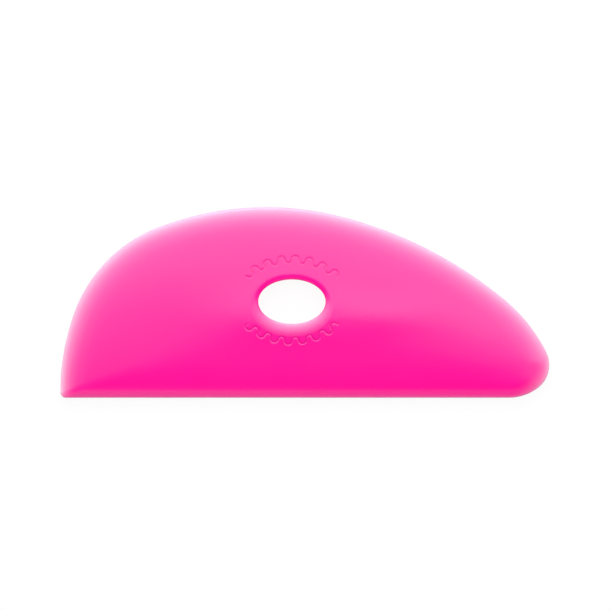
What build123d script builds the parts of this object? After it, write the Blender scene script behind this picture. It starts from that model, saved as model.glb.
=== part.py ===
"""Potter's throwing rib: one moulded piece of soft urethane, lying on its back face.

The blade is a half-moon with one straight working edge, a heel that meets it in a small
corner, a long curved back and a rounded nose.  It is thickest along a flat crest that runs
past the finger hole, and thins to a rounded edge all the way round, alike on both faces.

X runs from the heel to the nose, Y from the straight edge to the curved back, and Z up
through the thickness.  Sizes are in millimetres.
"""

from build123d import *
import math
import os

# Blade seen from above
BLADE_LENGTH = 150.0
BLADE_WIDTH = 58.5
HEEL_CORNER_RADIUS = 1.6

# Blade in section: a small round tip, a curved bevel, and a flank rising to the crest
CREST_THICKNESS = 6.4
TIP_RADIUS = 0.75
BEVEL_SLOPE = 18.0
SHOULDER_SLOPE = 6.0
BACK_BEVEL_WIDTH = 5.6
EDGE_BEVEL_WIDTH = 3.6

# Finger hole
HOLE_LENGTH = 20.6
HOLE_WIDTH = 13.6
HOLE_FROM_HEEL = 71.0
HOLE_FROM_STRAIGHT_EDGE = 29.5
HOLE_RIM_RADIUS = 1.8

# Flat crest that the rib rests on, longer towards the nose than towards the heel
CREST_TO_HEEL = 22.0
CREST_TO_NOSE = 29.0
CREST_WIDTH = 8.0
CREST_FROM_STRAIGHT_EDGE = 24.4
CREST_SOFTNESS_SHARE = 0.2

# Arcs of the heel, the back and the nose in order: radius as a share of the blade length,
# and the angle in degrees that each arc turns through
BACK_ARC_SHARES = [
    (0.5370, 16.4),
    (0.2940, 51.4),
    (0.6130, 21.4),
    (0.6130, 13.9),
    (0.8520, 25.9),
    (0.3340, 23.5),
    (0.0593, 26.7),
    (0.0593, 52.8),
    (0.0983, 37.2),
]
HEEL_LEAN = 0.8

# How finely each profile is drawn
STATION_TURN = 18.0
STRAIGHT_STEPS = 5
CORNER_STEPS = 3

# Where the profiles lie, as shares of the way up the tip, the bevel and the flank
TIP_SHARES = [0.0, 0.34, 0.67, 1.0]
BEVEL_SHARES = [0.0, 0.25, 0.5, 0.75, 1.0]
FLANK_SHARES = [0.0, 0.35, 0.7, 1.0]
STEEPEST_LIFT = 2.6

ON_WALL_SHARE = 0.001
QUARTER_TURN = 90.0
HALF = 0.5


def turned(angle):
    """A unit vector at an angle in degrees, anticlockwise from the nose direction."""
    return Vector(math.cos(math.radians(angle)), math.sin(math.radians(angle)))


def back_stations():
    """Places and headings along the heel, the back and the nose, fitted to the blade size."""
    place = Vector(0, 0)
    heading = QUARTER_TURN - HEEL_LEAN
    places = [place]
    headings = [heading]
    for radius_share, turn in BACK_ARC_SHARES:
        steps = math.ceil(turn / STATION_TURN)
        centre = place + turned(heading - QUARTER_TURN) * radius_share
        for step in range(steps):
            heading -= turn / steps
            place = centre + turned(heading + QUARTER_TURN) * radius_share
            places.append(place)
            headings.append(heading)
    nose_share = max(place.X for place in places)
    crown_share = max(place.Y for place in places) - places[-1].Y
    along = BLADE_LENGTH / nose_share
    across = BLADE_WIDTH / crown_share
    fitted = [Vector(place.X * along, (place.Y - places[-1].Y) * across) for place in places]
    fitted[0] = Vector(0, HEEL_CORNER_RADIUS)
    return fitted, headings


def straight_stations(nose_end):
    """Places and headings back along the straight edge, from the nose to the heel corner."""
    heel_end = Vector(HEEL_CORNER_RADIUS, 0)
    places = []
    for step in range(STRAIGHT_STEPS + 1):
        places.append(nose_end + (heel_end - nose_end) * (step / STRAIGHT_STEPS))
    return places, [QUARTER_TURN * 2] * len(places)


def corner_stations():
    """Places and headings round the small corner where the straight edge meets the heel."""
    centre = Vector(HEEL_CORNER_RADIUS, HEEL_CORNER_RADIUS)
    turn = QUARTER_TURN + HEEL_LEAN
    places = []
    headings = []
    for step in range(CORNER_STEPS + 1):
        share = step / CORNER_STEPS
        heading = QUARTER_TURN * 2 - turn * share
        around = QUARTER_TURN * 3 - QUARTER_TURN * share
        places.append(centre + turned(around) * HEEL_CORNER_RADIUS)
        headings.append(heading)
    return places, headings


def back_bevels(headings):
    """How far each place on the heel, the back and the nose moves in over the bevel."""
    bevels = []
    for heading in headings:
        inward = turned(heading - QUARTER_TURN)
        edge_share = max(0, inward.Y) ** 2
        width = BACK_BEVEL_WIDTH + (EDGE_BEVEL_WIDTH - BACK_BEVEL_WIDTH) * edge_share
        bevels.append(inward * width)
    bevels[0] = Vector(BACK_BEVEL_WIDTH, EDGE_BEVEL_WIDTH)
    return bevels


def straight_bevels():
    """How far each place on the straight edge moves in, sliding along to the heel's bevel."""
    slides = [BACK_BEVEL_WIDTH * step / STRAIGHT_STEPS for step in range(STRAIGHT_STEPS + 1)]
    return [Vector(slide, EDGE_BEVEL_WIDTH) for slide in slides]


def crest_place(place):
    """The place on the edge of the flat crest that lies towards an outline place."""
    centre = Vector(HOLE_FROM_HEEL, CREST_FROM_STRAIGHT_EDGE)
    way = place - centre
    along = CREST_TO_NOSE if way.X > 0 else CREST_TO_HEEL
    reach = math.hypot(way.X / along, way.Y / (CREST_WIDTH * HALF))
    return centre + way * (1 / reach)


def section_place(slope):
    """How far in and how high the back's edge section is where it slopes at this angle.

    The section is a small arc that starts upright at the tip, and a large one that carries
    on from it at the bevel's slope and ends at the shoulder's.
    """
    slope_sine = math.sin(math.radians(slope))
    bevel_sine = math.sin(math.radians(BEVEL_SLOPE))
    if slope > BEVEL_SLOPE:
        return TIP_RADIUS * (1 - slope_sine), TIP_RADIUS * math.cos(math.radians(slope))
    tip_width = TIP_RADIUS * (1 - bevel_sine)
    shoulder_sine = math.sin(math.radians(SHOULDER_SLOPE))
    bevel_radius = (BACK_BEVEL_WIDTH - tip_width) / (bevel_sine - shoulder_sine)
    bevel_cosine = math.cos(math.radians(BEVEL_SLOPE))
    rise = bevel_radius * (math.cos(math.radians(slope)) - bevel_cosine)
    return tip_width + bevel_radius * (bevel_sine - slope_sine), TIP_RADIUS * bevel_cosine + rise


def flank_height(bevel, reach, share):
    """Height above the middle plane, a share of the way from the shoulder up to the crest.

    The flank leaves the bevel at the slope the bevel ends with, rises almost straight, and
    turns level just before it meets the crest.
    """
    start = section_place(SHOULDER_SLOPE)[1]
    slope = math.tan(math.radians(SHOULDER_SLOPE)) * BACK_BEVEL_WIDTH / bevel.length
    rise = CREST_THICKNESS * HALF - start
    lift = min(slope * reach / rise, STEEPEST_LIFT)
    left = 1 - share
    softened = 1 - left * left / (left + CREST_SOFTNESS_SHARE) * (1 + CREST_SOFTNESS_SHARE)
    return start + rise * (softened + (lift - 1) * share * left ** 3)


def profile(sides, slope, flank_share):
    """One closed profile round the front half of the blade, as a wire of three curves."""
    inset, edge_height = section_place(slope)
    inset_share = inset / BACK_BEVEL_WIDTH
    edges = []
    for places, headings, bevels in sides:
        points = []
        for place, bevel in zip(places, bevels):
            moved = place + bevel * inset_share
            inward = crest_place(moved) - moved
            height = edge_height
            if flank_share > 0:
                height = flank_height(bevel, inward.length, flank_share)
            level = moved + inward * flank_share
            points.append(Vector(level.X, level.Y, height))
        lengths = [(after - before).length for before, after in zip(places, places[1:])]
        stops = [sum(lengths[:count]) / sum(lengths) for count in range(len(places))]
        ends = []
        for index, neighbour in ((0, 1), (-1, -2)):
            moved = places[index] + bevels[index] * inset_share
            step = turned(headings[index]) * HEEL_CORNER_RADIUS
            crest_way = crest_place(moved + step) - crest_place(moved - step)
            way = step * (2 - flank_share * 2) + crest_way * flank_share
            pace = (points[neighbour] - points[index]).length
            ends.append(way.normalized() * (pace / abs(stops[neighbour] - stops[index])))
        edges.append(Edge.make_spline(points, tangents=ends, parameters=stops, scale=False))
    return Wire(edges)


def front_half():
    """The front half of the blade: a rounded edge and a flank rising to the flat crest."""
    back, back_headings = back_stations()
    straight, straight_headings = straight_stations(back[-1])
    corner, corner_headings = corner_stations()
    corner_bevels = [Vector(BACK_BEVEL_WIDTH, EDGE_BEVEL_WIDTH)] * len(corner)
    sides = [
        (back, back_headings, back_bevels(back_headings)),
        (straight, straight_headings, straight_bevels()),
        (corner, corner_headings, corner_bevels),
    ]
    tip_slopes = [QUARTER_TURN + (BEVEL_SLOPE - QUARTER_TURN) * share for share in TIP_SHARES]
    bevel_slopes = [BEVEL_SLOPE + (SHOULDER_SLOPE - BEVEL_SLOPE) * share for share in BEVEL_SHARES]
    tip = Solid.make_loft([profile(sides, slope, 0) for slope in tip_slopes], ruled=True)
    bevel = Solid.make_loft([profile(sides, slope, 0) for slope in bevel_slopes])
    flank = Solid.make_loft([profile(sides, SHOULDER_SLOPE, share) for share in FLANK_SHARES])
    return tip + bevel + flank


def finger_hole():
    """The straight oval space of the finger hole."""
    place = Plane((HOLE_FROM_HEEL, HOLE_FROM_STRAIGHT_EDGE, -CREST_THICKNESS))
    oval = Edge.make_ellipse(HOLE_LENGTH * HALF, HOLE_WIDTH * HALF, place)
    return Solid.extrude(Face(Wire([oval])), Vector(0, 0, CREST_THICKNESS * 2))


def rim_edges(body):
    """The edges where the finger hole's wall meets the two faces."""
    along = HOLE_LENGTH * HALF
    across = HOLE_WIDTH * HALF
    found = []
    for edge in body.edges():
        middle = edge @ HALF
        way = middle - Vector(HOLE_FROM_HEEL, HOLE_FROM_STRAIGHT_EDGE, middle.Z)
        on_wall = abs(math.hypot(way.X / along, way.Y / across) - 1) < ON_WALL_SHARE
        if on_wall and abs(middle.Z) > TIP_RADIUS:
            found.append(edge)
    return found


def rib_body():
    """The whole rib, resting on its back crest, pierced by the finger hole."""
    front = front_half()
    pierced = front + front.mirror(Plane.XY) - finger_hole()
    rounded = fillet(rim_edges(pierced), HOLE_RIM_RADIUS)
    middle = (-BLADE_LENGTH * HALF, -BLADE_WIDTH * HALF, CREST_THICKNESS * HALF)
    centred = Pos(middle) * rounded
    centred.label = "rib_body"
    return centred


def main():
    """Build the rib and write it out."""
    os.makedirs("parts", exist_ok=True)
    export_step(rib_body(), "parts/rib_body.step")


main()
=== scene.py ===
"""A potter's soft throwing rib in hot pink urethane, lying on its back face under studio light.

The blade is one moulding: a half-moon with a straight working edge, a square heel, a long
curved back, a rounded nose and one oval finger hole.  X runs from the heel to the nose, Y
from the straight edge to the curved back, and Z up through the thickness.  Sizes are in
metres and angles in degrees.
"""

import logging
import math
from bisect import bisect
from dataclasses import dataclass, field
from enum import Enum
from functools import partial
from typing import Any, Callable, Iterable, Sequence

import bmesh
import bpy
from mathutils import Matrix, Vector

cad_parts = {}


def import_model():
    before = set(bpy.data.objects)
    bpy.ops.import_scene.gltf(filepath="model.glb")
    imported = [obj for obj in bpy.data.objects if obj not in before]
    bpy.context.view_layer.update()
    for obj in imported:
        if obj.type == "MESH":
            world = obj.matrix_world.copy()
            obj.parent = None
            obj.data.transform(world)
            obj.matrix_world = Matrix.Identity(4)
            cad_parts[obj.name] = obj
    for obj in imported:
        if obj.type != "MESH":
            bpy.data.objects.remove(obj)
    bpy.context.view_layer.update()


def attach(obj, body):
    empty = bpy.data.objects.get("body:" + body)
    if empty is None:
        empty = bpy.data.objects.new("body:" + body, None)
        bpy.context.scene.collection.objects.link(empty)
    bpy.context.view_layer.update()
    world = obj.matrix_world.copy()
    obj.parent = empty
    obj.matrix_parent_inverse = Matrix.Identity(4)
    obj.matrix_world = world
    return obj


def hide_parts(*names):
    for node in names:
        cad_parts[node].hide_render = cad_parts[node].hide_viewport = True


LOG = logging.getLogger("throwing_rib")
ROOT_BODY = "root"
BLADE_NODE = "rib_body"
SPOKE_LAYER = "spoke"
QUARTER_TURN = 90.0
HALF_TURN = 180.0
FULL_TURN = 360.0
SMALLEST_ANGLE = 1e-9
NOISE_MEAN = 0.5
WHITE = (1.0, 1.0, 1.0, 1.0)


def turned(angle: float) -> Vector:
    """Return a flat unit vector, anticlockwise from the nose direction."""
    return Vector((math.cos(math.radians(angle)), math.sin(math.radians(angle))))


def eased(share: float) -> float:
    """Return a share between 0 and 1 that leaves both ends level."""
    held = min(max(share, 0.0), 1.0)
    return held * held * (3 - held * 2)


def blended(start: float, end: float, share: float) -> float:
    """Return the value a share of the way from start to end."""
    return start + (end - start) * share


def even_steps(start: float, end: float, count: int) -> list[float]:
    """Return evenly spaced values from start towards end, which is left out."""
    return [blended(start, end, number / count) for number in range(count)]


def swing(before: float, after: float) -> float:
    """Return the angle between two bearings, the short way round."""
    return abs((after - before + HALF_TURN) % FULL_TURN - HALF_TURN)


def deselect_all() -> None:
    """Leave edit mode and select nothing, so that an operator acts on its own piece alone."""
    if bpy.context.object is not None and bpy.context.object.mode != "OBJECT":
        bpy.ops.object.mode_set(mode="OBJECT")
    bpy.ops.object.select_all(action="DESELECT")


class Side(Enum):
    """The side of the finger hole that an ornament lies on, as its bearing from there."""

    CURVED_BACK = QUARTER_TURN
    STRAIGHT_EDGE = QUARTER_TURN * 3


@dataclass(frozen=True)
class Signal:
    """A shader socket that takes part in Python sums, each of which adds a Math node."""

    graph: "MaterialGraph"
    socket: bpy.types.NodeSocket

    def _sum(self, operation: str, first: Any, second: Any) -> "Signal":
        """Return the result of a Math node on two values, each a number or a signal."""
        node = self.graph.node("ShaderNodeMath", {"operation": operation}, {0: first, 1: second})
        return self.graph.output(node)

    def __add__(self, other: Any) -> "Signal":
        """Return this value plus another."""
        return self._sum("ADD", self, other)

    def __radd__(self, other: Any) -> "Signal":
        """Return another value plus this one."""
        return self._sum("ADD", other, self)

    def __sub__(self, other: Any) -> "Signal":
        """Return this value less another."""
        return self._sum("SUBTRACT", self, other)

    def __rsub__(self, other: Any) -> "Signal":
        """Return another value less this one."""
        return self._sum("SUBTRACT", other, self)

    def __mul__(self, other: Any) -> "Signal":
        """Return this value times another."""
        return self._sum("MULTIPLY", self, other)

    def __rmul__(self, other: Any) -> "Signal":
        """Return another value times this one."""
        return self._sum("MULTIPLY", other, self)


class MaterialGraph:
    """A material's nodes, each added by one method."""

    def __init__(self, name: str) -> None:
        """Start an empty material.

        Args:
            name: The material's name.
        """
        self.material = bpy.data.materials.new(name)
        self.material.use_nodes = True
        self.tree = self.material.node_tree
        self.tree.nodes.clear()

    def node(
        self,
        kind: str,
        settings: dict[str, Any] | None = None,
        sockets: dict[str | int, Any] | None = None,
    ) -> bpy.types.Node:
        """Add one node.

        Args:
            kind: The node's type.
            settings: Its own settings by name, set first.
            sockets: Values or signals by the name or number of the input.

        Returns:
            The new node.
        """
        added = self.tree.nodes.new(kind)
        for name, value in (settings or {}).items():
            setattr(added, name, value)
        for key, value in (sockets or {}).items():
            if isinstance(value, Signal):
                self.tree.links.new(value.socket, added.inputs[key])
            else:
                added.inputs[key].default_value = value
        return added

    def output(self, node: bpy.types.Node, name: str | int = 0) -> Signal:
        """Return one of a node's outputs, by its name or number, as a signal."""
        return Signal(self, node.outputs[name])

    def mixed(self, factor: Any, first: Any, second: Any) -> Signal:
        """Return a mix of two colours, where the factor is the second one's share."""
        colours = {0: factor, 6: first, 7: second}
        return self.output(self.node("ShaderNodeMix", {"data_type": "RGBA"}, colours), 2)

    def attribute(self, name: str) -> Signal:
        """Return a number that the mesh holds at each point."""
        return self.output(self.node("ShaderNodeAttribute", {"attribute_name": name}), "Fac")

    def noise(self, place: Signal, size: float, detail: float) -> Signal:
        """Return noise from 0 to 1 with lumps of a size and so many finer layers."""
        sockets = {"Vector": place, "Scale": 1 / size, "Detail": detail}
        return self.output(self.node("ShaderNodeTexNoise", {}, sockets), "Fac")


@dataclass(frozen=True)
class UrethaneFinish:
    """Satin hot pink urethane, slightly see-through, with painted highlight along the edge and the
    hole's rim and painted shade on the edge's tip and in the pressed lines.
    """

    name: str = "hot_pink_urethane"
    pink: tuple[float, float, float, float] = (0.985, 0.0012, 0.300, 1.0)
    deep_pink: tuple[float, float, float, float] = (0.95, 0.0005, 0.262, 1.0)
    # Painted shade in the pressed lines
    pressed_painted_shade: tuple[float, float, float, float] = (0.76, 0.0004, 0.26, 1.0)
    # Painted highlight along the edge and on the hole's rim
    pale: tuple[float, float, float, float] = (1.0, 0.82, 0.95, 1.0)
    # Painted shade on the rounded tip of the edge, where it turns away from the light
    tip_painted_shade: tuple[float, float, float, float] = (0.70, 0.36, 0.54, 1.0)
    roughness: float = 0.24
    roughness_spread: float = 0.03
    refraction: float = 1.53
    see_through: float = 0.12
    see_through_depth: float = 0.0022
    see_through_shares: tuple[float, float, float] = (1.0, 0.25, 0.5)
    cloud_size: float = 0.030
    cloud_share: float = 0.35
    ripple_size: float = 0.012
    ripple_height: float = 0.00002
    soft_detail: float = 1.0
    grain_size: float = 0.00035
    grain_height: float = 0.0000012
    grain_detail: float = 2.0
    highlight_attribute: str = "painted_edge_highlight"
    tip_shade_attribute: str = "painted_tip_shade"
    pressed_shade_attribute: str = "pressed"

    def build(self) -> bpy.types.Material:
        """Build the material.

        Returns:
            The finished material.
        """
        graph = MaterialGraph(self.name)
        place = graph.output(graph.node("ShaderNodeTexCoord"), "Object")
        clouds = graph.noise(place, self.cloud_size, self.soft_detail) * self.cloud_share
        ripple = graph.noise(place, self.ripple_size, self.soft_detail)
        grain = graph.noise(place, self.grain_size, self.grain_detail)
        body = graph.mixed(clouds, self.pink, self.deep_pink)
        # Painted shade in the pressed lines, by how deep each place is pressed
        groove_shaded = graph.mixed(graph.attribute(self.pressed_shade_attribute), body, self.pressed_painted_shade)
        # Painted highlight along the edge and the hole's rim
        highlighted = graph.mixed(graph.attribute(self.highlight_attribute), groove_shaded, self.pale)
        # Painted shade on the edge's tip
        colour = graph.mixed(graph.attribute(self.tip_shade_attribute), highlighted, self.tip_painted_shade)
        roughness = (ripple - NOISE_MEAN) * self.roughness_spread + self.roughness
        height = grain * self.grain_height + ripple * self.ripple_height
        bump_sockets = {"Strength": 1.0, "Distance": 1.0, "Height": height}
        bump = graph.node("ShaderNodeBump", {}, bump_sockets)
        shader = graph.node(
            "ShaderNodeBsdfPrincipled",
            {},
            {
                "Base Color": colour,
                "Roughness": roughness,
                "IOR": self.refraction,
                "Subsurface Weight": self.see_through,
                "Subsurface Radius": self.see_through_shares,
                "Subsurface Scale": self.see_through_depth,
                "Normal": graph.output(bump),
            },
        )
        graph.node("ShaderNodeOutputMaterial", {}, {"Surface": graph.output(shader)})
        return graph.material


@dataclass(frozen=True)
class StageFinish:
    """Plain white floor paper, which keeps a soft share of the shadow that falls on it."""

    name: str = "floor_paper"
    paper: tuple[float, float, float, float] = (0.93, 0.93, 0.93, 1.0)
    lift: float = 0.93

    def build(self) -> bpy.types.Material:
        """Build the material.

        Returns:
            The finished material.
        """
        graph = MaterialGraph(self.name)
        rays = graph.node("ShaderNodeLightPath")
        seen = graph.output(rays, "Is Camera Ray")
        for kind in ("Is Glossy Ray", "Is Transmission Ray"):
            seen = seen + graph.output(rays, kind)
        matt = graph.node("ShaderNodeBsdfDiffuse", {}, {"Color": self.paper})
        white = graph.node("ShaderNodeEmission", {}, {"Strength": 1.0})
        mix_sockets = {0: seen * self.lift, 1: graph.output(matt), 2: graph.output(white)}
        mixed = graph.node("ShaderNodeMixShader", {}, mix_sockets)
        graph.node("ShaderNodeOutputMaterial", {}, {"Surface": graph.output(mixed)})
        return graph.material


@dataclass(frozen=True)
class Station:
    """One place on the blade's outline, how the blade thins towards it, and the painted highlight
    there.
    """

    place: Vector
    bevel: Vector
    heading: float
    paleness: float
    pale_reach: float

    @property
    def depth(self) -> float:
        """Return how far in the bevel reaches, square to the edge."""
        return self.bevel.dot(turned(self.heading - QUARTER_TURN))


@dataclass(frozen=True)
class Spoke:
    """A station, with its shoulder and its direction from the finger hole's centre."""

    station: Station
    shoulder: Vector
    way: Vector


@dataclass(frozen=True)
class SkinPoint:
    """A point of the front skin, measured from the heel corner and the middle plane."""

    place: Vector
    height: float
    painted_highlight: float


Ring = Callable[[Spoke], SkinPoint]


@dataclass(frozen=True)
class Slope:
    """The shoulder as seen from the crest in one direction."""

    angle: float
    reach: float
    lift: float


@dataclass(frozen=True)
class WaveOrnament:
    """A running wave of half circles, pressed along an arc on one side of the finger hole."""

    side: Side
    arc_radius: float
    arc_offset: float
    half_circles: int = 14
    radius: float = 0.00108
    stroke: float = 0.00070
    flare_share: float = 1.4

    @property
    def run(self) -> float:
        """Return the wave's length along its arc."""
        return self.half_circles * self.radius * 2

    def distance(self, offset: Vector) -> float:
        """Find how far a place lies from the pressed line.

        Args:
            offset: The place, from the finger hole's centre.

        Returns:
            The distance in shares of half the stroke, where 1 is the stroke's edge.
        """
        middle = turned(self.side.value)
        way = offset + middle * self.arc_offset
        across = middle.x * way.y - middle.y * way.x
        along = math.atan2(across, way.dot(middle)) * self.arc_radius + self.run / 2
        outside = way.length - self.arc_radius
        number = min(max(math.floor(along / self.radius / 2), 0), self.half_circles - 1)
        nearest = math.inf
        for index in (number - 1, number, number + 1):
            outward = outside if index % 2 == 0 else -outside
            if 0 <= index < self.half_circles:
                aside = along - (index * 2 + 1) * self.radius
                if outward >= 0:
                    nearest = min(nearest, abs(math.hypot(aside, outward) - self.radius))
                else:
                    nearest = min(nearest, math.hypot(abs(aside) - self.radius, outward))
        return nearest / (self.stroke / 2)

    def pressed_share(self, offset: Vector) -> float:
        """Return how deep a place is pressed in, from 0 to 1."""
        return eased(self.flare_share - self.distance(offset))


@dataclass
class RibBlade:
    """The moulded blade, thickest along a crest past its finger hole, with a rounded edge."""

    # Blade seen from above
    length: float = 0.150
    width: float = 0.0585
    heel_corner_radius: float = 0.0016
    heel_lean: float = 0.8

    # Arcs of the heel, the back and the nose in order: radius as a share of the length, and
    # the angle that each arc turns through
    back_arc_shares: Sequence[tuple[float, float]] = (
        (0.5370, 16.4),
        (0.2940, 51.4),
        (0.6130, 21.4),
        (0.6130, 13.9),
        (0.8520, 25.9),
        (0.3340, 23.5),
        (0.0593, 26.7),
        (0.0593, 52.8),
        (0.0983, 37.2),
    )

    # Edge in section: a small round tip and a curved bevel up to the shoulder
    tip_radius: float = 0.00075
    bevel_slope: float = 18.0
    shoulder_slope: float = 6.0
    back_bevel_width: float = 0.0056
    edge_bevel_width: float = 0.0036
    corner_bevel_width: float = 0.0026

    # Flat crest, and how softly the two flanks meet along it
    crest_thickness: float = 0.0064
    crest_to_heel: float = 0.015
    crest_to_nose: float = 0.029
    crest_width: float = 0.008
    crest_from_straight_edge: float = 0.0244
    crest_softness: float = 0.0040
    heel_softness: float = 0.0006
    heel_softening_share: float = 0.10
    softness_room_share: float = 0.8
    steepest_lift: float = 2.6

    # Finger hole and its rim, which is wider towards the straight edge
    hole_length: float = 0.0206
    hole_width: float = 0.0136
    hole_from_heel: float = 0.071
    hole_from_straight_edge: float = 0.0295
    rim_width_at_back: float = 0.0020
    rim_widening: float = 0.0021
    rim_depth: float = 0.00065
    rim_side_share: float = 0.3
    rim_front_share: float = 1.1

    # Painted highlight along the edge and the hole's rim, strongest where they face the lamps, and
    # how far in that reaches; painted shade on the edge's tip
    pale_share: float = 0.60
    pale_reach: float = 0.0022
    heel_pale_share: float = 0.64
    nose_pale_share: float = 0.47
    side_pale_reach: float = 0.0017
    straight_pale_share: float = 0.08
    straight_pale_reach_at_heel: float = 0.0014
    straight_pale_reach_at_nose: float = 0.0005
    rim_pale_share: float = 0.38
    rim_pale_reach: float = 0.0014
    rim_pale_bearing: float = 278.0
    rim_pale_start_share: float = 0.1
    tip_shade_share: float = 0.8
    tip_shade_reach: float = 0.00022

    # How finely the outline is walked
    arc_step: float = 0.4
    straight_steps: int = 400
    corner_steps: int = 40
    crest_steps: int = 24

    # Rings of the disc that softens the crest: radius as a share, and how many places
    softening_rings: Sequence[tuple[float, int]] = ((0.35, 6), (0.7, 10), (1.0, 14))

    # Spokes: how much edge, turn seen from the hole and bend of the edge make one pace
    spoke_count: int = 384
    edge_pace: float = 0.0016
    turn_pace: float = 2.5
    heading_pace: float = 9.0

    # Rings from the hole's wall out to the tip
    wall_rings: int = 3
    rim_rings: int = 14
    near_flank_share: float = 0.60
    near_flank_rings: int = 20
    far_flank_rings: int = 12
    bevel_rings: int = 9
    tip_rings: int = 7

    # Points of the two halves that lie nearer than this become one
    merge_distance: float = 0.000001

    # Pressed lines, round which the upward faces are cut finer for a few half strokes
    pressed_depth: float = 0.00006
    fine_half_strokes: float = 3.0
    fine_cuts: int = 3
    upward_share: float = 0.9
    ornaments: Sequence[WaveOrnament] = (
        WaveOrnament(Side.CURVED_BACK, arc_radius=0.0215, arc_offset=0.0086),
        WaveOrnament(Side.STRAIGHT_EDGE, arc_radius=0.0215, arc_offset=0.0095),
    )
    finish: UrethaneFinish = field(default_factory=UrethaneFinish)

    @property
    def hole_centre(self) -> Vector:
        """Return the finger hole's centre, from the heel corner."""
        return Vector((self.hole_from_heel, self.hole_from_straight_edge))

    @property
    def crest_centre(self) -> Vector:
        """Return the middle of the blade's crest, from the heel corner."""
        return Vector((self.hole_from_heel, self.crest_from_straight_edge))

    @property
    def shoulder_height(self) -> float:
        """Return the shoulder's height above the middle plane."""
        return self.edge_section(self.shoulder_slope)[1]

    def __post_init__(self) -> None:
        """Measure the shoulder and the softened crest once, for the heights that need them."""
        self.slope_table = self.slopes(self.walk())
        self.slope_angles = [slope.angle for slope in self.slope_table]
        along = even_steps(-self.crest_to_heel, self.crest_to_nose, self.crest_steps)
        places = [self.crest_centre + Vector((offset, 0.0)) for offset in along]
        top = max(self.mean_height(place, self.length) for place in places)
        start = self.shoulder_height
        self.crest_gain = (self.crest_thickness / 2 - start) / (top - start)

    def paleness(self, inward: Vector) -> tuple[float, float]:
        """Find how strong the painted highlight along the edge is on the heel, the back or the
        nose.

        Args:
            inward: The direction in from the edge.

        Returns:
            How strong the painted highlight is at the tip of the edge, and how far in it reaches.
        """
        # Painted highlight: strong on the back, heel and nose, which face the lamps, and faint on
        # the straight edge on the dim side
        side_share = self.heel_pale_share if inward.x > 0 else self.nose_pale_share
        share = blended(self.pale_share, side_share, abs(inward.x))
        reach = blended(self.pale_reach, self.side_pale_reach, abs(inward.x))
        straightness = max(0.0, inward.y) ** 3
        near_straight = max(0.0, straightness * 2 - 1)
        return (
            blended(share, self.straight_pale_share, straightness),
            blended(reach, self.straight_pale_reach_at_nose, near_straight),
        )

    def back_stations(self) -> list[Station]:
        """Walk the heel, the back and the nose along their arcs.

        Returns:
            Closely spaced stations, fitted to the blade's length and width.
        """
        walked = [(Vector((0.0, 0.0)), QUARTER_TURN - self.heel_lean, 0.0)]
        for number, (radius_share, turn) in enumerate(self.back_arc_shares):
            steps = math.ceil(turn / self.arc_step)
            place, heading, _ = walked[-1]
            centre = place + turned(heading - QUARTER_TURN) * radius_share
            for step in range(1, steps + 1):
                facing = heading - turn * step / steps
                reached = centre + turned(facing + QUARTER_TURN) * radius_share
                walked.append((reached, facing, step / steps if number == 0 else 1.0))
        nose_share = max(place.x for place, _, _ in walked)
        base_share = walked[-1][0].y
        crown_share = max(place.y for place, _, _ in walked) - base_share
        stations = []
        for place, heading, along_first in walked:
            inward = turned(heading - QUARTER_TURN)
            bevel_width = blended(
                self.back_bevel_width, self.edge_bevel_width, max(0.0, inward.y) ** 2
            )
            lift = (1.0 - along_first) * self.heel_corner_radius
            slide = (1.0 - along_first) * self.corner_bevel_width
            fitted = Vector((
                place.x * self.length / nose_share,
                (place.y - base_share) * self.width / crown_share + lift,
            ))
            if along_first == 0.0:
                fitted.y = self.heel_corner_radius
            bevel = inward * bevel_width + Vector((0.0, slide))
            stations.append(Station(fitted, bevel, heading, *self.paleness(inward)))
        return stations

    def straight_stations(self, nose_end: Vector) -> list[Station]:
        """Walk the straight edge from the nose to the heel corner.

        Args:
            nose_end: Where the nose meets the straight edge.

        Returns:
            Closely spaced stations.
        """
        heel_end = Vector((self.heel_corner_radius, 0.0))
        near_nose = self.straight_pale_reach_at_nose
        near_heel = self.straight_pale_reach_at_heel
        pale = self.straight_pale_share
        stations = []
        for step in range(1, self.straight_steps + 1):
            share = step / self.straight_steps
            across = blended(self.edge_bevel_width, self.corner_bevel_width, share)
            bevel = Vector((self.back_bevel_width * share, across))
            place = nose_end.lerp(heel_end, share)
            reach = blended(near_nose, near_heel, share)
            stations.append(Station(place, bevel, -HALF_TURN, pale, reach))
        return stations

    def corner_stations(self) -> list[Station]:
        """Walk the small corner where the straight edge meets the heel.

        Returns:
            Closely spaced stations.
        """
        centre = Vector((self.heel_corner_radius, self.heel_corner_radius))
        bevel = Vector((self.back_bevel_width, self.corner_bevel_width))
        stations = []
        for step in range(1, self.corner_steps + 1):
            share = step / self.corner_steps
            around = QUARTER_TURN * 3 - QUARTER_TURN * share
            heading = -HALF_TURN - (QUARTER_TURN + self.heel_lean) * share
            place = centre + turned(around) * self.heel_corner_radius
            pale = blended(self.straight_pale_share, self.heel_pale_share, share)
            reach = blended(self.straight_pale_reach_at_heel, self.side_pale_reach, share)
            stations.append(Station(place, bevel, heading, pale, reach))
        return stations

    def walk(self) -> list[Station]:
        """Walk the whole outline.

        Returns:
            Closely spaced stations all the way round.
        """
        stations = self.back_stations()
        stations += self.straight_stations(stations[-1].place)
        return stations + self.corner_stations()

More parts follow.
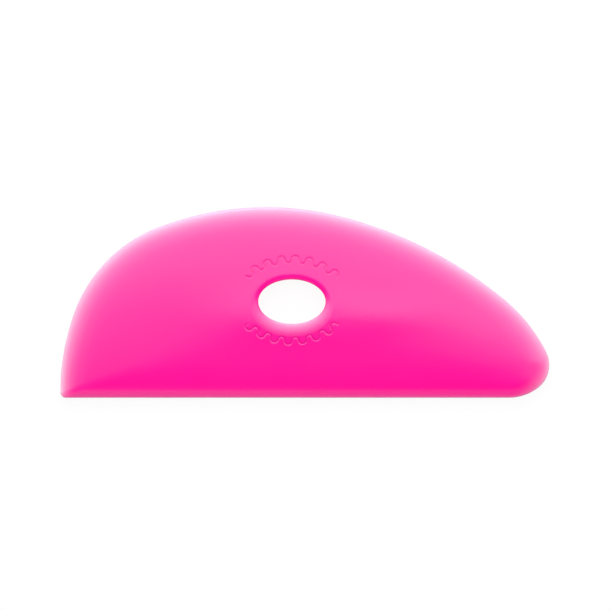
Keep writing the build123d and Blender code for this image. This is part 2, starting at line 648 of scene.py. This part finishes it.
    def slopes(self, stations: Sequence[Station]) -> list[Slope]:
        """Measure the shoulder in every direction from the crest's middle.

        Args:
            stations: The stations round the outline.

        Returns:
            The slopes in order of their angle, with one more past each end of the turn.
        """
        rise = self.crest_thickness / 2 - self.shoulder_height
        steepness = math.tan(math.radians(self.shoulder_slope)) * self.back_bevel_width
        found = []
        for station in stations:
            way = station.place + station.bevel - self.crest_centre
            reach = way.length
            inward = turned(station.heading - QUARTER_TURN)
            facing = max(0.0, -way.dot(inward) / reach)
            run = reach - self.crest_reach(way)
            lift = min(steepness / station.depth * facing * run / rise, self.steepest_lift)
            found.append(Slope(math.degrees(math.atan2(way.y, way.x)), reach, lift))
        found.sort(key=lambda slope: slope.angle)
        first, last = found[0], found[-1]
        before = Slope(last.angle - FULL_TURN, last.reach, last.lift)
        after = Slope(first.angle + FULL_TURN, first.reach, first.lift)
        return [before, *found, after]

    def crest_reach(self, way: Vector) -> float:
        """Return how far the crest's flat oval reaches in a direction."""
        along = self.crest_to_nose if way.x > 0 else self.crest_to_heel
        return way.length / math.hypot(way.x / along, way.y / (self.crest_width / 2))

    def hard_height(self, place: Vector) -> float:
        """Find the height above the middle plane before the crest is softened.

        Args:
            place: The place, from the heel corner.

        Returns:
            The height, which leaves the bevel at its slope and eases level into the crest.
        """
        way = place - self.crest_centre
        half = self.crest_thickness / 2
        if way.length < self.crest_width / 2:
            return half
        angle = math.degrees(math.atan2(way.y, way.x))
        after = bisect(self.slope_angles, angle)
        low, high = self.slope_table[after - 1], self.slope_table[after]
        share = (angle - low.angle) / max(high.angle - low.angle, SMALLEST_ANGLE)
        reach = blended(low.reach, high.reach, share)
        lift = blended(low.lift, high.lift, share)
        rising = min(max((reach - way.length) / (reach - self.crest_reach(way)), 0.0), 1.0)
        start = self.shoulder_height
        bulge = (lift - 1) * rising * (1 - rising) ** 3
        return start + (half - start) * (rising + bulge)

    def mean_height(self, place: Vector, room: float) -> float:
        """Find the mean height over a small disc, which softens the crest.

        Args:
            place: The disc's middle, from the heel corner.
            room: How far it lies from the shoulder, which limits the disc.

        Returns:
            The mean height above the middle plane.
        """
        ridge_softness = self.heel_softness + place.x * self.heel_softening_share
        spread = min(self.crest_softness, ridge_softness, room * self.softness_room_share)
        total = self.hard_height(place)
        weight = 1.0
        for share, count in self.softening_rings:
            for number in range(count):
                offset = turned(FULL_TURN * (number + share) / count) * spread * share
                total += self.hard_height(place + offset)
            weight += count
        return total / weight

    def surface_height(self, place: Vector, room: float) -> float:
        """Find the finished height above the middle plane.

        Args:
            place: The place, from the heel corner.
            room: How far the place lies from the shoulder.

        Returns:
            The softened height, raised so that the crest keeps the full thickness.
        """
        start = self.shoulder_height
        gain = blended(1.0, self.crest_gain, min(room / self.crest_softness, 1.0))
        return start + (self.mean_height(place, room) - start) * gain

    def spokes(self) -> list[Spoke]:
        """Spread the spokes round the outline, closer where it bends or comes near the hole.

        Returns:
            The spokes, in order round the outline.
        """
        walk = self.walk()
        angles = [self.place_angle(station) for station in walk]
        paces = [0.0]
        for index in range(1, len(walk)):
            before, after = walk[index - 1], walk[index]
            step = (after.place - before.place).length
            turn = swing(angles[index - 1], angles[index])
            bend = swing(before.heading, after.heading)
            pace = step / self.edge_pace + turn / self.turn_pace + bend / self.heading_pace
            paces.append(paces[-1] + pace)
        spokes = []
        cursor = 0
        for number in range(self.spoke_count):
            target = paces[-1] * number / self.spoke_count
            while paces[cursor + 1] < target:
                cursor += 1
            share = (target - paces[cursor]) / (paces[cursor + 1] - paces[cursor])
            spokes.append(self.spoke_between(walk[cursor], walk[cursor + 1], share))
        return spokes

    def place_angle(self, station: Station) -> float:
        """Return the angle at which a station's shoulder lies, seen from the finger hole."""
        way = station.place + station.bevel - self.hole_centre
        return math.degrees(math.atan2(way.y, way.x))

    def spoke_between(self, before: Station, after: Station, share: float) -> Spoke:
        """Make a spoke between two stations.

        Args:
            before: The earlier station.
            after: The later station.
            share: How far the spoke lies towards the later one.

        Returns:
            The spoke.
        """
        station = Station(
            before.place.lerp(after.place, share),
            before.bevel.lerp(after.bevel, share),
            blended(before.heading, after.heading, share),
            blended(before.paleness, after.paleness, share),
            blended(before.pale_reach, after.pale_reach, share),
        )
        shoulder = station.place + station.bevel
        return Spoke(station, shoulder, shoulder - self.hole_centre)

    def edge_section(self, slope: float) -> tuple[float, float]:
        """Find the back edge's section where it slopes at an angle.

        Args:
            slope: The slope, from upright at the tip down to the shoulder's.

        Returns:
            How far in and how high above the middle plane that is.
        """
        sine = math.sin(math.radians(slope))
        if slope > self.bevel_slope:
            return self.tip_radius * (1 - sine), self.tip_radius * math.cos(math.radians(slope))
        bevel_sine = math.sin(math.radians(self.bevel_slope))
        bevel_cosine = math.cos(math.radians(self.bevel_slope))
        tip_width = self.tip_radius * (1 - bevel_sine)
        radius = (self.back_bevel_width - tip_width) / (
            bevel_sine - math.sin(math.radians(self.shoulder_slope))
        )
        rise = radius * (math.cos(math.radians(slope)) - bevel_cosine)
        return tip_width + radius * (bevel_sine - sine), self.tip_radius * bevel_cosine + rise

    def painted_highlight(self, spoke: Spoke, inset: float) -> float:
        """Return how strong the painted edge highlight is, this far in from the edge."""
        return spoke.station.paleness * math.exp(-inset / spoke.station.pale_reach)

    def rings(self) -> list[Ring]:
        """List the rings from the middle of the hole's wall out to the tip of the edge.

        Returns:
            A function for each ring, which gives the point where a spoke meets it.
        """
        wall = even_steps(0.0, 1.0, self.wall_rings)
        rim = even_steps(0.0, QUARTER_TURN, self.rim_rings)
        flank = even_steps(1.0, self.near_flank_share, self.near_flank_rings)
        flank += even_steps(self.near_flank_share, 0.0, self.far_flank_rings)
        slopes = even_steps(self.shoulder_slope, self.bevel_slope, self.bevel_rings)
        slopes += even_steps(self.bevel_slope, QUARTER_TURN, self.tip_rings)
        slopes.append(QUARTER_TURN)
        found: list[Ring] = [partial(self.wall_point, share) for share in wall]
        found += [partial(self.rim_point, angle) for angle in rim]
        found += [partial(self.flank_point, share) for share in flank]
        return found + [partial(self.edge_point, slope) for slope in slopes]

    def rim_width(self, way: Vector) -> float:
        """Return the rim's width in a direction, more towards the straight edge."""
        facing = blended(self.rim_side_share, self.rim_front_share, -way.normalized().y)
        return self.rim_width_at_back + self.rim_widening * eased(facing)

    def oval_place(self, way: Vector, flare_share: float) -> Vector:
        """Return the place on an oval round the finger hole that lies in a direction.

        Args:
            way: The direction from the hole's centre.
            flare_share: The share of the rim's width that the oval lies outside the wall.

        Returns:
            The place, from the heel corner.
        """
        flare = self.rim_width(way) * flare_share
        along = self.hole_length / 2 + flare
        across = self.hole_width / 2 + flare
        return self.hole_centre + way / math.hypot(way.x / along, way.y / across)

    def wall_point(self, share: float, spoke: Spoke) -> SkinPoint:
        """Find where a spoke meets a ring on the hole's wall.

        Args:
            share: How far up from the middle plane to the rim the ring lies.
            spoke: The spoke.

        Returns:
            The point.
        """
        place = self.oval_place(spoke.way, 0.0)
        top = self.surface_height(place, self.length) - self.rim_depth
        return SkinPoint(place, top * share, 0.0)

    def rim_point(self, angle: float, spoke: Spoke) -> SkinPoint:
        """Find where a spoke meets a ring on the rim, whose section is a quarter of an oval.

        Args:
            angle: The ring's angle round that quarter, from the wall up to the face.
            spoke: The spoke.

        Returns:
            The point.
        """
        flare_share = 1 - math.cos(math.radians(angle))
        drop = self.rim_depth * (1 - math.sin(math.radians(angle)))
        place = self.oval_place(spoke.way, flare_share)
        flare = self.rim_width(spoke.way) * flare_share
        # Painted highlight on the rim's side nearer the straight edge, which tilts towards the
        # lamps, fading out from the hole's wall
        facing = spoke.way.normalized().dot(turned(self.rim_pale_bearing))
        pale = self.rim_pale_share * eased(blended(self.rim_pale_start_share, 1.0, facing))
        height = self.surface_height(place, self.length) - drop
        return SkinPoint(place, height, pale * math.exp(-flare / self.rim_pale_reach))

    def flank_point(self, share: float, spoke: Spoke) -> SkinPoint:
        """Find where a spoke meets a ring on the flank.

        Args:
            share: How far in from the shoulder to the rim the ring lies.
            spoke: The spoke.

        Returns:
            The point.
        """
        place = spoke.shoulder.lerp(self.oval_place(spoke.way, 1.0), share)
        room = (place - spoke.shoulder).length
        painted_highlight = self.painted_highlight(spoke, spoke.station.depth + room)
        return SkinPoint(place, self.surface_height(place, room), painted_highlight)

    def edge_point(self, slope: float, spoke: Spoke) -> SkinPoint:
        """Find where a spoke meets a ring on the bevel or the tip.

        Args:
            slope: The section's slope at the ring.
            spoke: The spoke.

        Returns:
            The point.
        """
        inset, height = self.edge_section(slope)
        inset_share = inset / self.back_bevel_width
        place = spoke.station.place + spoke.station.bevel * inset_share
        return SkinPoint(place, height, self.painted_highlight(spoke, spoke.station.depth * inset_share))

    def lay_ring(self, piece: bpy.types.Object, spokes: Sequence[Spoke], ring: Ring) -> None:
        """Put the selected loop of points on a ring.

        Args:
            piece: The piece in edit mode.
            spokes: All the spokes.
            ring: The ring's function.
        """
        mesh = bmesh.from_edit_mesh(piece.data)
        number = mesh.verts.layers.int[SPOKE_LAYER]
        highlight_layer = mesh.verts.layers.float[self.finish.highlight_attribute]
        tip = mesh.verts.layers.float[self.finish.tip_shade_attribute]
        for vert in mesh.verts:
            if vert.select:
                spoke = spokes[vert[number]]
                point = ring(spoke)
                vert.co = (
                    point.place.x - self.length / 2,
                    point.place.y - self.width / 2,
                    point.height,
                )
                inset = (point.place - spoke.station.place).length
                # The painted highlight along the edge and the hole's rim
                vert[highlight_layer] = point.painted_highlight
                # The painted shade on the rounded tip of the edge
                vert[tip] = self.tip_shade_share * math.exp(-inset / self.tip_shade_reach)
        bmesh.update_edit_mesh(piece.data)

    def number_loop(self, piece: bpy.types.Object) -> None:
        """Give the first loop its attributes, and number its points in order round it.

        Args:
            piece: The piece in edit mode, which holds that loop alone.
        """
        mesh = bmesh.from_edit_mesh(piece.data)
        finish = self.finish
        for name in (finish.highlight_attribute, finish.tip_shade_attribute, finish.pressed_shade_attribute):
            mesh.verts.layers.float.new(name)
        number = mesh.verts.layers.int.new(SPOKE_LAYER)
        mesh.verts.ensure_lookup_table()
        vert = mesh.verts[0]
        edge = vert.link_edges[0]
        for index in range(len(mesh.verts)):
            vert[number] = index
            vert = edge.other_vert(vert)
            edge = next(other for other in vert.link_edges if other != edge)
        bmesh.update_edit_mesh(piece.data)

    def front_half(self, spokes: Sequence[Spoke]) -> bpy.types.Object:
        """Draw the front half out from the finger hole, ring by ring.

        Args:
            spokes: All the spokes.

        Returns:
            The piece, open at its middle plane.
        """
        deselect_all()
        centre = self.hole_centre - Vector((self.length / 2, self.width / 2))
        bpy.ops.mesh.primitive_circle_add(
            vertices=len(spokes), radius=self.hole_length / 2, location=(centre.x, centre.y, 0.0)
        )
        piece = bpy.context.object
        piece.name = "moulded_blade"
        bpy.ops.object.transform_apply(location=True, rotation=True, scale=True)
        bpy.ops.object.mode_set(mode="EDIT")
        self.number_loop(piece)
        first, *others = self.rings()
        self.lay_ring(piece, spokes, first)
        for ring in others:
            bpy.ops.mesh.extrude_region_move()
            self.lay_ring(piece, spokes, ring)
        bpy.ops.object.mode_set(mode="OBJECT")
        return piece

    def close_halves(self, piece: bpy.types.Object) -> None:
        """Mirror the front half onto the back and stand the blade on its back crest.

        Args:
            piece: The front half.
        """
        mirror = piece.modifiers.new("halves", "MIRROR")
        mirror.use_axis = (False, False, True)
        mirror.merge_threshold = self.merge_distance
        bpy.ops.object.modifier_apply(modifier=mirror.name)
        bpy.ops.object.mode_set(mode="EDIT")
        bpy.ops.mesh.select_all(action="SELECT")
        bpy.ops.mesh.remove_doubles(threshold=self.merge_distance)
        bpy.ops.mesh.normals_make_consistent(inside=False)
        bpy.ops.transform.translate(value=(0.0, 0.0, self.crest_thickness / 2))
        bpy.ops.object.mode_set(mode="OBJECT")

    def hole_offset(self, place: Vector) -> Vector:
        """Return a finished place's flat distance from the finger hole's centre."""
        flat = Vector((place.x + self.length / 2, place.y + self.width / 2))
        return flat - self.hole_centre

    def press_ornaments(self, piece: bpy.types.Object) -> None:
        """Press the running waves into the front face, on both sides of the finger hole.

        Args:
            piece: The closed blade.
        """
        bpy.ops.object.mode_set(mode="EDIT")
        bpy.ops.mesh.select_all(action="DESELECT")
        bpy.ops.mesh.select_mode(type="FACE")
        mesh = bmesh.from_edit_mesh(piece.data)
        for face in mesh.faces:
            if face.normal.z > self.upward_share:
                places = [vert.co for vert in face.verts] + [face.calc_center_median()]
                nearest = min(self.line_distance(place) for place in places)
                face.select = nearest < self.fine_half_strokes
        mesh.select_flush(True)
        bmesh.update_edit_mesh(piece.data)
        bpy.ops.mesh.subdivide(number_cuts=self.fine_cuts)
        mesh = bmesh.from_edit_mesh(piece.data)
        mesh.normal_update()
        pressed = mesh.verts.layers.float[self.finish.pressed_shade_attribute]
        for vert in mesh.verts:
            if vert.normal.z > self.upward_share:
                offset = self.hole_offset(vert.co)
                share = max(ornament.pressed_share(offset) for ornament in self.ornaments)
                # The pressed share is also the mask of the painted shade in the lines
                vert[pressed] = share
                vert.co.z -= self.pressed_depth * share
        bmesh.update_edit_mesh(piece.data)
        bpy.ops.mesh.select_mode(type="VERT")
        bpy.ops.object.mode_set(mode="OBJECT")

    def line_distance(self, place: Vector) -> float:
        """Return how far a finished place lies from the nearest pressed line."""
        offset = self.hole_offset(place)
        return min(ornament.distance(offset) for ornament in self.ornaments)

    def build(self) -> bpy.types.Object:
        """Model and dress the blade.

        Returns:
            The finished piece.
        """
        piece = self.front_half(self.spokes())
        self.close_halves(piece)
        self.press_ornaments(piece)
        bpy.ops.object.shade_smooth()
        piece.data.materials.clear()
        piece.data.materials.append(self.finish.build())
        counts = len(piece.data.vertices), len(piece.data.polygons)
        LOG.info("%s: %d points, %d faces", piece.name, *counts)
        return piece


@dataclass
class FloorSweep:
    """A round white floor whose rim curves up into a wall, like a photographer's sweep."""

    floor_radius: float = 3.4
    cove_radius: float = 0.8
    wall_height: float = 1.6
    cove_rings: int = 8
    sides: int = 96
    finish: StageFinish = field(default_factory=StageFinish)

    def build(self) -> bpy.types.Object:
        """Model the sweep.

        Returns:
            The stage piece.
        """
        deselect_all()
        bpy.ops.mesh.primitive_circle_add(
            vertices=self.sides, radius=self.floor_radius, fill_type="TRIFAN"
        )
        sweep = bpy.context.object
        sweep.name = "floor_sweep"
        bpy.ops.object.mode_set(mode="EDIT")
        bpy.ops.mesh.select_all(action="SELECT")
        bpy.ops.mesh.region_to_loop()
        radius = self.floor_radius
        height = 0.0
        rings = []
        for number in range(1, self.cove_rings + 1):
            climb = turned(QUARTER_TURN * number / self.cove_rings)
            rings.append((
                self.floor_radius + self.cove_radius * climb.y,
                self.cove_radius * (1 - climb.x),
            ))
        rings.append((rings[-1][0], rings[-1][1] + self.wall_height))
        for next_radius, next_height in rings:
            bpy.ops.mesh.extrude_region_move(
                TRANSFORM_OT_translate={"value": (0.0, 0.0, next_height - height)}
            )
            grown = next_radius / radius
            bpy.ops.transform.resize(value=(grown, grown, 1.0))
            radius, height = next_radius, next_height
        bpy.ops.object.mode_set(mode="OBJECT")
        bpy.ops.object.shade_smooth()
        sweep.data.materials.append(self.finish.build())
        return sweep


@dataclass
class Softbox:
    """A large soft lamp that leans over the blade."""

    name: str
    lean: float
    bearing: float
    breadth: float
    depth: float
    brightness: float
    distance: float = 2.6

    def build(self, aim: Vector) -> bpy.types.Object:
        """Hang the lamp.

        Args:
            aim: The place that it points at.

        Returns:
            The lamp.
        """
        deselect_all()
        flat = turned(self.bearing) * math.sin(math.radians(self.lean))
        way = Vector((flat.x, flat.y, math.cos(math.radians(self.lean))))
        bpy.ops.object.light_add(type="AREA", location=aim + way * self.distance)
        lamp = bpy.context.object
        lamp.name = self.name
        lamp.rotation_euler = way.to_track_quat("Z", "Y").to_euler()
        lamp.data.shape = "RECTANGLE"
        lamp.data.size = self.breadth
        lamp.data.size_y = self.depth
        lamp.data.energy = self.brightness * math.pi * self.breadth * self.depth
        lamp.visible_camera = False
        return lamp


@dataclass
class CopyStand:
    """The camera that looks straight down, as in the photograph, and the studio's light."""

    frame_width: float = 0.18718
    centre_along: float = 0.00002
    centre_across: float = -0.00077
    plane_height: float = 0.0032
    sensor_width: float = 36.0
    lens: float = 300.0
    farthest_sight: float = 20.0
    fill: float = 0.05
    softboxes: Sequence[Softbox] = (
        Softbox("top_softbox", lean=29.0, bearing=89.0, breadth=3.8, depth=2.6, brightness=2.75),
        Softbox("back_softbox", lean=52.0, bearing=90.0, breadth=1.6, depth=1.0, brightness=4.2),
        Softbox("heel_softbox", lean=52.0, bearing=180.0, breadth=1.0, depth=1.2, brightness=1.8),
        Softbox("nose_softbox", lean=52.0, bearing=0.0, breadth=1.0, depth=1.2, brightness=1.2),
        Softbox("front_softbox", lean=46.0, bearing=270.0, breadth=2.2, depth=1.3, brightness=0.65),
    )

    def build(self) -> bpy.types.Object:
        """Set up the camera, the lamps and the world.

        Returns:
            The camera.
        """
        deselect_all()
        distance = self.frame_width * self.lens / self.sensor_width
        place = (self.centre_along, self.centre_across, self.plane_height + distance)
        bpy.ops.object.camera_add(location=place, rotation=(0.0, 0.0, 0.0))
        camera = bpy.context.object
        camera.name = "copy_stand_camera"
        camera.data.sensor_width = self.sensor_width
        camera.data.lens = self.lens
        camera.data.clip_end = self.farthest_sight
        scene = bpy.context.scene
        scene.camera = camera
        scene.view_settings.view_transform = "Standard"
        for softbox in self.softboxes:
            softbox.build(Vector((0.0, 0.0, self.plane_height)))
        world = bpy.data.worlds.new("studio_fill")
        world.use_nodes = True
        background = world.node_tree.nodes["Background"]
        background.inputs["Color"].default_value = WHITE
        background.inputs["Strength"].default_value = self.fill
        scene.world = world
        return camera


def main() -> None:
    """Build the rib and its studio, and report each piece."""
    logging.basicConfig(level=logging.INFO, format="%(name)s: %(message)s")
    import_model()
    blade = RibBlade().build()
    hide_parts(BLADE_NODE)
    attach(blade, ROOT_BODY)
    sweep = FloorSweep().build()
    LOG.info("%s: the stage", sweep.name)
    camera = CopyStand().build()
    LOG.info("%s: looks straight down", camera.name)
    deselect_all()


if __name__ == "__main__":
    main()
